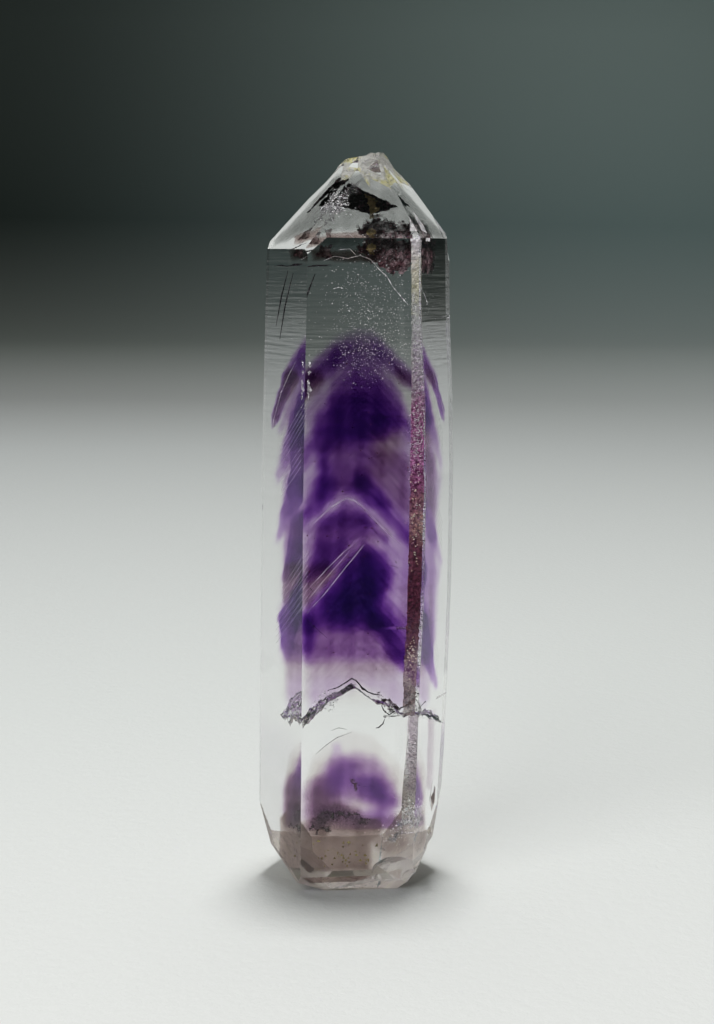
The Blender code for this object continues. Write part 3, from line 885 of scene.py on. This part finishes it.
# %% Hollows under the tip
DIAMOND = ((-3.1, 64.05), (-2.3, 65.05), (-1.7, 66.15), (-1.1, 66.55), (-0.4, 66.05), (1, 65.35),
    (2.3, 64.65), (3.3, 63.95), (2.4, 63.45), (1.4, 63.05), (0.2, 63.15), (-0.8, 63.55), (-2, 63.75))
DIAMOND_HEART = ((0.35, 65.4), (1.4, 65.1), (1.55, 63.8), (1.1, 62.8), (0.7, 62.8), (0.7, 64.1))
BROWN_HOLLOW = ((-0.5, 61.2), (0.3, 62.2), (1.4, 62.5), (2.4, 62.2), (4.6, 61.9), (4.8, 59.6),
    (3.9, 58.9), (2.9, 58.7), (1.9, 59.2), (1.2, 60), (0.3, 60.3))
BROWN_HEART = ((0.3, 61.3), (0.9, 61.9), (1.3, 61.3), (1.1, 60.6), (0.6, 60.6))
LEFT_WEDGE = ((-5.3, 63.7), (-4.5, 64.3), (-3.8, 65.3), (-2.8, 66.5), (-1.8, 67.3), (-1.1, 67.2),
    (-1.6, 66.6), (-2.2, 65.9), (-2.8, 65.4), (-3.5, 64.8), (-4.3, 64.1))

patch("diamond_hollow", DIAMOND, 0.2, dark_lining, cell=0.05, ragged=0.12, crumple=0.30)
patch("diamond_heart", DIAMOND_HEART, -0.25, tan_lining, cell=0.05, ragged=0.35, crumple=0.2)
patch("brown_hollow", BROWN_HOLLOW, 0.3, brown_lining, cell=0.06, ragged=0.35, crumple=0.5)
patch("brown_hollow_back", BROWN_HOLLOW, 1.6, smoky_lining, cell=0.08, ragged=0.55, crumple=0.6)
patch("brown_heart", BROWN_HEART, -0.4, tan_lining, cell=0.05, ragged=0.3, crumple=0.2)
patch("left_wedge", LEFT_WEDGE, -0.6, dark_lining, cell=0.05, ragged=0.14, crumple=0.2)

# %% [markdown]
# Silver veils
#
# A silver skin runs down from the tip along the left front edge. The large crack above the
# foot is a low roof: its left side is bright and crumpled, and its right side is a dark line
# that ends in a brown, ragged patch. Here come its patch and its dark lines, as skin and thread;
# the crack itself follows in the next step.

# %% Silver veils
TIP_VEIL = ((-2.6, 65), (-1.7, 66.2), (-0.6, 67.1), (0.1, 67), (-0.4, 66), (-1.3, 64.9), (-1.9, 63.9),
    (-2.6, 62.9), (-3.4, 62), (-3.9, 61.6), (-3.4, 63.2), (-3.2, 64.2))
ROOF_PATCH = ((1.6, 18.6), (2.2, 18.7), (3.2, 18), (3.9, 17.6), (4.3, 17.1), (4, 16.5), (2.6, 16.35),
    (3, 16.9), (2.4, 17.4), (2.1, 18))
ROOF_LINES = (
    ((-2.9, 19), (-1.9, 19.3), (-1.1, 19.8), (-0.6, 20.15), (-0.2, 20), (0.4, 19.3), (1, 18.8),
     (1.5, 18.6), (2.2, 18.5)),
    ((0.2, 19.5), (0.45, 19.1), (0.7, 18.95)),
    ((2.3, 17.5), (2.6, 16.9), (3.1, 16.5), (3.7, 16.9), (4.5, 17.3), (5.2, 17.6), (5.5, 17.5)),
    ((2.6, 16.4), (3.4, 16.35), (4.2, 16.4)),
    ((2.7, 16.1), (2.5, 15.6), (2.1, 15.25), (1.8, 15.2)),
)

patch("tip_veil", TIP_VEIL, -1.6, silver_foil, cell=0.09, ragged=0.45, crumple=0.5, crumple_scale=2.4)
patch(
    "roof_brown_patch", ROOF_PATCH, -1.5, crust_lining, cell=0.05, ragged=0.35, crumple=0.4,
    crumple_scale=2.6,
)
thread("roof_lines", ROOF_LINES, hairline, width=0.13, y=-2.0)

# %% [markdown]
# The roof crack
#
# A fresh crack is a gap of air, thinner than a hair. Air bends light the other way round than
# quartz does, so a crack seen from a low angle is a perfect mirror. The sheet runs from front
# to back, is crumpled most at its left, and gets its thickness from Solidify.

# %% The roof crack
# The ridge line across the crystal. At its seventh corner the left sheet ends and the right begins.
ROOF_RIDGE = (
    (-5.4, 16.7), (-4.2, 17.6), (-2.9, 18.9), (-1.8, 19.3), (-0.6, 20.1), (0.4, 19.3), (1.2, 18.75),
    (2.2, 18.45), (3.2, 17.9), (4.2, 17.1), (5.3, 17.5), (7.0, 16.9), (8.0, 16.4),
)
RIDGE_PARTS_AT = 6
LEFT_SHEET_BACK, RIGHT_SHEET_BACK = 1.0, -2.0
AIR_IN_QUARTZ = 1.0 / QUARTZ_IOR
CRACK_FRONT = -5.0
CRACK_FALL = 0.10
CRACK_GAP = 0.03
CRACK_CELL = 0.11


def air_gap_finish():
    """Clear air inside quartz."""
    material, tree, shader = new_finish("air_gap", {**CLEAR, "Roughness": 0.03, "IOR": AIR_IN_QUARTZ})
    add_bump(tree, shader, grain(tree, 1500.0, 3.0, 0.6), 0.5, 0.0002)
    return material


def crack_sheet(name, ridge, y_to, crumple_left, crumple_right):
    """A thin closed gap that follows a ridge line across and falls towards the back."""
    left, right = ridge[0][0], ridge[-1][0]
    sheet, xs, ys = flat_grid(name, left, right, CRACK_FRONT, y_to, CRACK_CELL)
    ridge_x = [corner[0] for corner in ridge]
    ridge_z = [corner[1] for corner in ridge]
    for vertex, x, y in zip(sheet.data.vertices, xs, ys):
        share = np.clip((x - left) / (right - left) * 2.0, 0.0, 1.0)
        crumple = crumple_left + (crumple_right - crumple_left) * share
        z = float(np.interp(x, ridge_x, ridge_z))
        z += crumple * rough(x, y, 5.0, 1.1) + 0.3 * crumple * rough(x, y, 9.0, 3.3)
        vertex.co = (x * MM, y * MM, (z - CRACK_FALL * (y - CRACK_FRONT)) * MM)
    modifier = sheet.modifiers.new("gap", "SOLIDIFY")
    modifier.thickness = CRACK_GAP * MM
    bpy.ops.object.modifier_apply(modifier="gap")
    bpy.ops.object.shade_smooth()
    sheet.data.materials.append(air_gap_finish())
    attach(sheet, "root")
    print(name, len(sheet.data.polygons), "faces")
    return sheet


crack_sheet("roof_crack", ROOF_RIDGE[:RIDGE_PARTS_AT + 1], LEFT_SHEET_BACK, 0.65, 0.15)
crack_sheet("roof_crack_right", ROOF_RIDGE[RIDGE_PARTS_AT:], RIGHT_SHEET_BACK, 0.25, 0.35)

# %% [markdown]
# Hairlines, pale lines and growth lines
#
# White hairlines cross the clear part under the shoulder. Pale lines follow the roofs of the
# phantoms, and sets of straight growth lines run down beside the violet on both sides. All are
# narrow ribbons. The growth lines lie just under the side faces, because they are seen through
# those faces, and further in they would be bent out of sight.

# %% Hairlines and pale lines
SHOULDER_CRACK = (
    ((-3.6, 60), (-2.6, 60.4), (-1.4, 60.2), (-0.2, 60.5), (0.8, 60.1), (1.5, 59.3), (2.3, 58.6),
     (2.9, 57.6), (3.8, 56.6), (4.4, 55.9)),
    ((-2.2, 61), (-1.2, 61.1), (-0.6, 60.5)),
    ((-2.7, 57.4), (-2.2, 57.55), (-1.8, 57.45)),
)
PALE_ROOFS = (
    ((-4.4, 35.3), (-2.8, 36.8), (-1.9, 37.4), (-1.2, 37.7), (-0.5, 37.5), (0.4, 36.8), (1.2, 35.9),
     (2.6, 34.5), (4, 33.2)),
    ((-5, 26.6), (-3.2, 28.6), (-1.4, 30.9), (-0.2, 32.4), (0.5, 33.3)),
    ((-4.8, 29), (-3, 31), (-1.4, 32.6), (-0.4, 33.4)),
    ((-4.9, 27.9), (-3.3, 29.9), (-1.9, 31.5), (-0.9, 32.7)),
)
# Sets of growth lines: top of the first, foot of the first, how many, and the step to the next.
SIDE_SETS = (
    ((-2.9, 46.8), (-6.4, 42.7), 5, 0.55),
    ((-3.3, 42.5), (-6.2, 39.5), 4, 0.60),
    ((-2.5, 32.6), (-6.0, 28.8), 4, 0.60),
    ((-2.6, 30.2), (-6.8, 26.0), 5, 0.65),
    ((4.3, 48.6), (6.9, 43.6), 4, 0.60),
    ((4.2, 39.4), (7.0, 34.9), 5, 0.60),
    ((4.2, 27.6), (7.0, 21.8), 4, 0.65),
)
LEFT, RIGHT = -1, 1


def growth_sets(side):
    """All growth lines of one side, as straight lines."""
    lines = []
    for (x_top, z_top), (x_foot, z_foot), count, step in SIDE_SETS:
        for number in range(count):
            if x_top * side > 0.0:
                drop = number * step
                lines.append(((x_top, z_top - drop), (x_foot, z_foot - drop)))
    return lines


BLADE_EDGES = {
    LEFT: (((-4.2, 50.6), (-5.1, 49.4), (-6.3, 47.6), (-7.3, 45.2), (-7.6, 44.0)),),
    RIGHT: (((4.6, 49.9), (5.1, 49.0), (6.2, 47.5), (7.1, 45.6), (7.3, 44.6)),),
}
DARK_HAIRLINES = (
    ((-5.1, 29.8), (-4.6, 29), (-4, 28.2)),
    ((-5.2, 26.2), (-4.2, 25.3), (-3, 24.2)),
    ((2.7, 31.3), (3.8, 31)),
    ((-2.6, 15), (-1.8, 15.3), (-1, 15.1)),
    ((-4, 12.7), (-3, 13.6), (-2, 14.3), (-0.5, 14.85)),
)

thread("shoulder_crack", SHOULDER_CRACK, white_line, width=0.08, y=-1.0)
thread("pale_roofs", PALE_ROOFS, white_line, width=0.05, y=-4.3)
for side, side_name in ((LEFT, "left"), (RIGHT, "right")):
    thread("growth_lines_" + side_name, growth_sets(side), white_line, width=0.10, side=side)
    thread("blade_edge_" + side_name, BLADE_EDGES[side], white_line, width=0.08, side=side)
thread("dark_hairlines", DARK_HAIRLINES, hairline, width=0.05, y=-4.5)

# %% [markdown]
# Marks along the edges
#
# The left front edge is bruised where the first phantom meets it, and a torn, dark line runs
# below the left shoulder, with two long streaks under it. They lie inside the surface, so they
# are patches and ribbons too, and not dents in the skin.

# %% Marks along the edges
EDGE_BRUISE = ((-4.95, 51.4), (-4.75, 51), (-4.75, 49.6), (-4.9, 49), (-4.65, 48.2), (-4.9, 47),
    (-5.05, 47), (-5, 49.2))
SHOULDER_SQUARE = ((-4, 61.3), (-2.9, 61.4), (-2.9, 60.2), (-4.3, 60.3))
SHOULDER_LINES = (
    ((-5.2, 59), (-6.2, 56.6), (-7, 53.8)),
    ((-4.4, 58.8), (-5.6, 55.6), (-6.4, 52.6)),
)
SHOULDER_TEAR = (((-7.4, 59.4), (-6.2, 59.5), (-5.4, 59.4), (-4.2, 59.55), (-2.9, 59.6)),)

patch("edge_bruise", EDGE_BRUISE, -4.6, white_line, cell=0.05, ragged=0.18, crumple=0.3, crumple_scale=2.6)
patch("shoulder_square", SHOULDER_SQUARE, 0.0, brown_lining, cell=0.06, ragged=0.18, crumple=0.3)
thread("shoulder_lines", SHOULDER_LINES, hairline, width=0.22, y=0.0)
thread("shoulder_tear", SHOULDER_TEAR, hairline, width=0.13, y=0.0)

# %% [markdown]
# The crust above the foot
#
# The lowest phantom, the oldest, stands on a dark, broken crust. It is a ragged skin, half
# see-through, so that the brown colour behind it shows between its crumbs, and a patch of
# silver glitter lies beside it at the right.

# %% Crust
CRUST = ((-4.4, 5.6), (-3.9, 6.6), (-3, 6.9), (-2, 7.1), (-1, 7.4), (-0.3, 7.2), (0.3, 6.6), (0.6, 6),
    (2, 5.7), (1.9, 5.3), (0.4, 5.3), (-0.6, 6), (-1.8, 6.1), (-2.5, 5.4), (-3, 4.7), (-4.2, 4.8))
CRUST_GLITTER = ((4.4, 6.8), (4.9, 7), (5.6, 6.2), (5.6, 5.3), (4.7, 5.2), (4.2, 4), (3, 2.9), (2.6, 3),
    (3.8, 4.6))
CRUST_KNOT = ((-0.8, 10.0), (-0.3, 10.2), (0.1, 9.8), (0.1, 9.0), (-0.1, 8.8), (-0.3, 9.5))

patch("crust", CRUST, -0.6, crust_lining, cell=0.06, ragged=0.65, crumple=0.5, crumple_scale=2.2)
patch("crust_knot", CRUST_KNOT, -1.6, crust_lining, cell=0.07, ragged=0.12, crumple=0.2, crumple_scale=2.2)
patch(
    "crust_glitter", CRUST_GLITTER, -2.0, silver_foil, cell=0.08, ragged=0.55, crumple=0.5,
    crumple_scale=2.8,
)

# %% [markdown]
# Specks
#
# Tiny bright specks are thickest under the shoulder and over the first phantom. A few are
# red-brown, and yellow-green ones sit near the foot. Each is a tiny pointed grain, turned at
# random from a fixed seed, and all grains of a group are one mesh. Scattering instances would
# be lighter, but only real meshes leave the program with the rest of the crystal.

# %% Specks
LOWEST_SPECK = 1.3
# A grain of size 1 is a four-sided point this wide and this long, in millimetres.
GRAIN_WIDTH, GRAIN_LENGTH = 1.0, 0.7


def specks(name, count, centre, spreading, y_range, size_range, material, seed, widest=5.0):
    """Many tiny pointed grains in one mesh, strewn round a place of the middle plane."""
    draw = random.Random(seed)
    mesh = bmesh.new()
    for _ in range(count):
        x = centre[0] + draw.gauss(0.0, spreading[0])
        z = centre[1] + draw.gauss(0.0, spreading[1])
        y = draw.uniform(*y_range)
        if abs(x) > widest or z < LOWEST_SPECK:
            continue
        seen_x, seen_z = slide_along_view(x, z, y)
        size = draw.uniform(*size_range)
        turn_grain = Matrix.Rotation(draw.uniform(0.0, math.pi), 4, draw.choice("XYZ"))
        stretch = Matrix.Diagonal((size * draw.uniform(0.6, 1.6), size, size, 1.0))
        place = Matrix.Translation((seen_x * MM, y * MM, seen_z * MM))
        bmesh.ops.create_cone(
            mesh, segments=4, radius1=0.5 * GRAIN_WIDTH * MM, radius2=0.0, depth=GRAIN_LENGTH * MM,
            cap_ends=True, matrix=place @ turn_grain @ stretch,
        )
    return finish_piece(name, mesh, material)


white_grain = hollow_finish("white_grain", (0.90, 0.89, 0.90), (0.98, 0.97, 0.99), 0.5)
red_grain = hollow_finish("red_brown_grain", (0.06, 0.012, 0.006), (0.20, 0.05, 0.02), 0.4)
yellow_grain = hollow_finish("yellow_green_grain", (0.26, 0.22, 0.06), (0.45, 0.40, 0.14), 0.4)

# Each group: how many, its middle, how far it strays, its depths, its sizes, its finish, its
# seed, and, where it isn't the usual 5 mm, how far from the crystal's middle it may lie.
specks("specks_clear", 900, (0.9, 55.6), (2.6, 2.8), (-5.6, 2.0), (0.04, 0.11), white_grain, 3)
specks("specks_arch", 480, (0.9, 51.4), (2.0, 1.3), (-5.6, -2.5), (0.04, 0.11), white_grain, 4)
specks("specks_body", 90, (0.0, 36.0), (2.5, 8.0), (-5.6, -4.0), (0.07, 0.18), red_grain, 5)
specks("specks_foot", 46, (-1.2, 2.3), (1.1, 1.0), (-4.5, 1.0), (0.12, 0.34), yellow_grain, 6)

# %% [markdown]
# The glittering strip, a painted reflection
#
# Beside the right front edge a narrow, bright strip runs down the whole crystal, close behind the
# front face. It is the reflection that the striated back-right face throws, here a painted reflection
# on a thin skin. It changes colour as it goes: white under the tip, then cream, then glittering pink
# where the violet begins, maroon in the middle, and brown and grey towards the foot. It is one skin
# with one finish, whose two colours, ground and flakes, are picked by height.

# %% The glittering strip, a painted reflection
STRIP = ((4.5, 62), (5.35, 62), (5.4, 56.2), (5.7, 52), (6, 47.6), (6.15, 38.9), (6.12, 31.2),
    (5.95, 24.5), (5.72, 20.5), (5.68, 16.4), (4.4, 16.4), (4.4, 20.5), (4.6, 24.5), (4.7, 31.2),
    (4.78, 38.9), (4.74, 47.6), (4.66, 52), (4.6, 56.2))
STRIP_DEPTH = -5.7
STRIP_FOOT, STRIP_TOP = 16.4 * MM, 62.0 * MM
# The borders between the colours wander up and down by up to half of this.
STRIP_WANDER = 5.0 * MM
# How high up the strip, the colour between its flakes, the colour of the flakes, how solid it is.
STRIP_REFLECTION_COLOURS = (
    (0.02, (0.40, 0.30, 0.30), (0.85, 0.74, 0.66), 0.5),
    (0.06, (0.05, 0.02, 0.03), (0.30, 0.16, 0.16), 0.9),
    (0.12, (0.26, 0.10, 0.17), (0.90, 0.72, 0.62), 0.7),
    (0.17, (0.06, 0.012, 0.035), (0.34, 0.13, 0.15), 0.9),
    (0.26, (0.045, 0.006, 0.022), (0.20, 0.04, 0.085), 1.0),
    (0.37, (0.07, 0.010, 0.032), (0.32, 0.08, 0.13), 0.95),
    (0.43, (0.16, 0.04, 0.06), (0.88, 0.52, 0.42), 0.85),
    (0.49, (0.11, 0.012, 0.06), (0.55, 0.16, 0.34), 0.95),
    (0.56, (0.20, 0.018, 0.14), (0.98, 0.38, 0.80), 1.0),
    (0.66, (0.16, 0.025, 0.11), (0.86, 0.34, 0.66), 0.95),
    (0.70, (0.40, 0.26, 0.36), (0.98, 0.86, 0.94), 0.75),
    (0.78, (0.58, 0.54, 0.56), (0.98, 0.94, 0.96), 0.6),
    (0.85, (0.48, 0.49, 0.47), (0.90, 0.90, 0.88), 0.45),
    (0.90, (0.72, 0.67, 0.42), (0.98, 0.95, 0.78), 0.85),
    (0.95, (0.84, 0.77, 0.68), (0.99, 0.96, 0.90), 0.95),
    (0.985, (0.90, 0.82, 0.88), (0.99, 0.97, 0.99), 1.0),
)


def painted_reflection_finish():
    """Painted reflection: glitter whose colours change with height, flakes of one colour on a ground of
    another.
    """
    material, tree, shader = new_finish("glitter_strip", {"Roughness": 0.35, "Specular IOR Level": 0.4})
    place = add_node(tree, "ShaderNodeTexCoord")
    parts = add_node(tree, "ShaderNodeSeparateXYZ")
    tree.links.new(place.outputs["Object"], parts.inputs[0])
    wandering = add_node(tree, "ShaderNodeMath", {"operation": "MULTIPLY_ADD"})
    wandering.inputs[1].default_value = STRIP_WANDER
    tree.links.new(grain(tree, 900.0, 3.0, 0.6), wandering.inputs[0])
    tree.links.new(parts.outputs["Z"], wandering.inputs[2])
    shift = 0.5 * STRIP_WANDER
    height = spread(tree, wandering.outputs[0], STRIP_FOOT + shift, STRIP_TOP + shift)
    ground = tint(tree, height, [(at, dark) for at, dark, _, _ in STRIP_REFLECTION_COLOURS])
    flakes = tint(tree, height, [(at, light) for at, _, light, _ in STRIP_REFLECTION_COLOURS])
    solid = tint(tree, height, [(at, (share, share, share)) for at, _, _, share in STRIP_REFLECTION_COLOURS])
    glitter_grain = grain(tree, 3000.0, 5.0, 0.75)
    flake_share = spread(tree, glitter_grain, 0.42, 0.62)
    tree.links.new(blend(tree, flake_share, ground, flakes), shader.inputs["Base Color"])
    tree.links.new(solid, shader.inputs["Alpha"])
    add_bump(tree, shader, glitter_grain, 1.0, 0.0004)
    return material


glitter = painted_reflection_finish()
patch("glitter_strip", STRIP, STRIP_DEPTH, glitter, cell=0.07, ragged=0.04, crumple=0.12, crumple_scale=3.0)

# The pale point above the strip paints the top of the same reflection, and the pink and cream grains just
# before the strip paint its glints.
STRIP_POINT = ((4.35, 64.7), (4.55, 64.6), (5.4, 63), (5.4, 61.8), (4.45, 61.8))
pale_lining = hollow_finish("pale_sliver", (0.70, 0.62, 0.66), (0.99, 0.96, 0.98), 0.6, 0.2, 3000.0)
patch("strip_point", STRIP_POINT, -2.1, pale_lining, cell=0.06, ragged=0.04, crumple=0.1)
pink_glint = hollow_finish("pink_glint", (0.95, 0.66, 0.90), (0.99, 0.92, 0.98), 0.5)
cream_glint = hollow_finish("cream_glint", (0.90, 0.70, 0.50), (0.97, 0.88, 0.74), 0.5)
BEFORE_STRIP = (-5.95, -5.72)
specks("strip_flakes", 420, (5.42, 43.6), (0.34, 2.4), BEFORE_STRIP, (0.05, 0.15), pink_glint, 7, 6.0)
specks("strip_flakes_cream", 60, (5.42, 35.4), (0.34, 2.2), BEFORE_STRIP, (0.07, 0.20), cream_glint, 8, 6.0)
specks("strip_flakes_low", 60, (5.25, 22.4), (0.30, 1.0), BEFORE_STRIP, (0.07, 0.20), cream_glint, 9, 5.8)
# The white grains called glints are painted glints: they stand in for the sparkle of the tip veil, of the
# roof crack's bright left side and of the foot under the strip, and the foot trail spreads the last of
# them.
specks("tip_glints", 150, (-2.2, 65.0), (0.55, 0.9), (-2.3, -1.7), (0.06, 0.18), white_grain, 10)
specks("roof_glints", 90, (-3.1, 18.0), (0.6, 0.5), (-3.4, -2.6), (0.06, 0.20), white_grain, 13)
specks("foot_glints", 150, (5.3, 6.3), (0.45, 0.7), (-4.6, -3.8), (0.08, 0.26), white_grain, 11, 6.2)
specks("foot_trail", 70, (3.4, 4.4), (1.0, 0.8), (-3.6, -2.6), (0.05, 0.14), white_grain, 12, 5.4)

# %% [markdown]
# Light for what lies inside
#
# The lamps above meet the skin first, and a path through it that ends at a lamp is hard to
# find. One more lamp stands for the light that clear stone lets through. It is tied to the
# inclusions and to the skin, the skin casts no shadow from it, and nothing mirrors it.

# %% Light for what lies inside
inner_lamp = soft_lamp(
    "light let through", place=(-0.22, -0.36, 0.50), aim=(0.0, 0.0, 0.035), size=0.40, power=2.6
)
inner_lamp.visible_glossy = False
inner_lamp.visible_transmission = False
lit = bpy.data.collections.new("lit inside")
shading = bpy.data.collections.new("shading inside")
for piece in bpy.data.objects:
    if piece.type != "MESH" or piece in zone_bodies or piece in (floor, bpy.data.objects[CRYSTAL_NODE]):
        continue
    lit.objects.link(piece)
    if piece != skin:
        shading.objects.link(piece)
inner_lamp.light_linking.receiver_collection = lit
inner_lamp.light_linking.blocker_collection = shading

# %% [markdown]
# Closing
#
# The dressed crystal stays inside the model's box.

import json
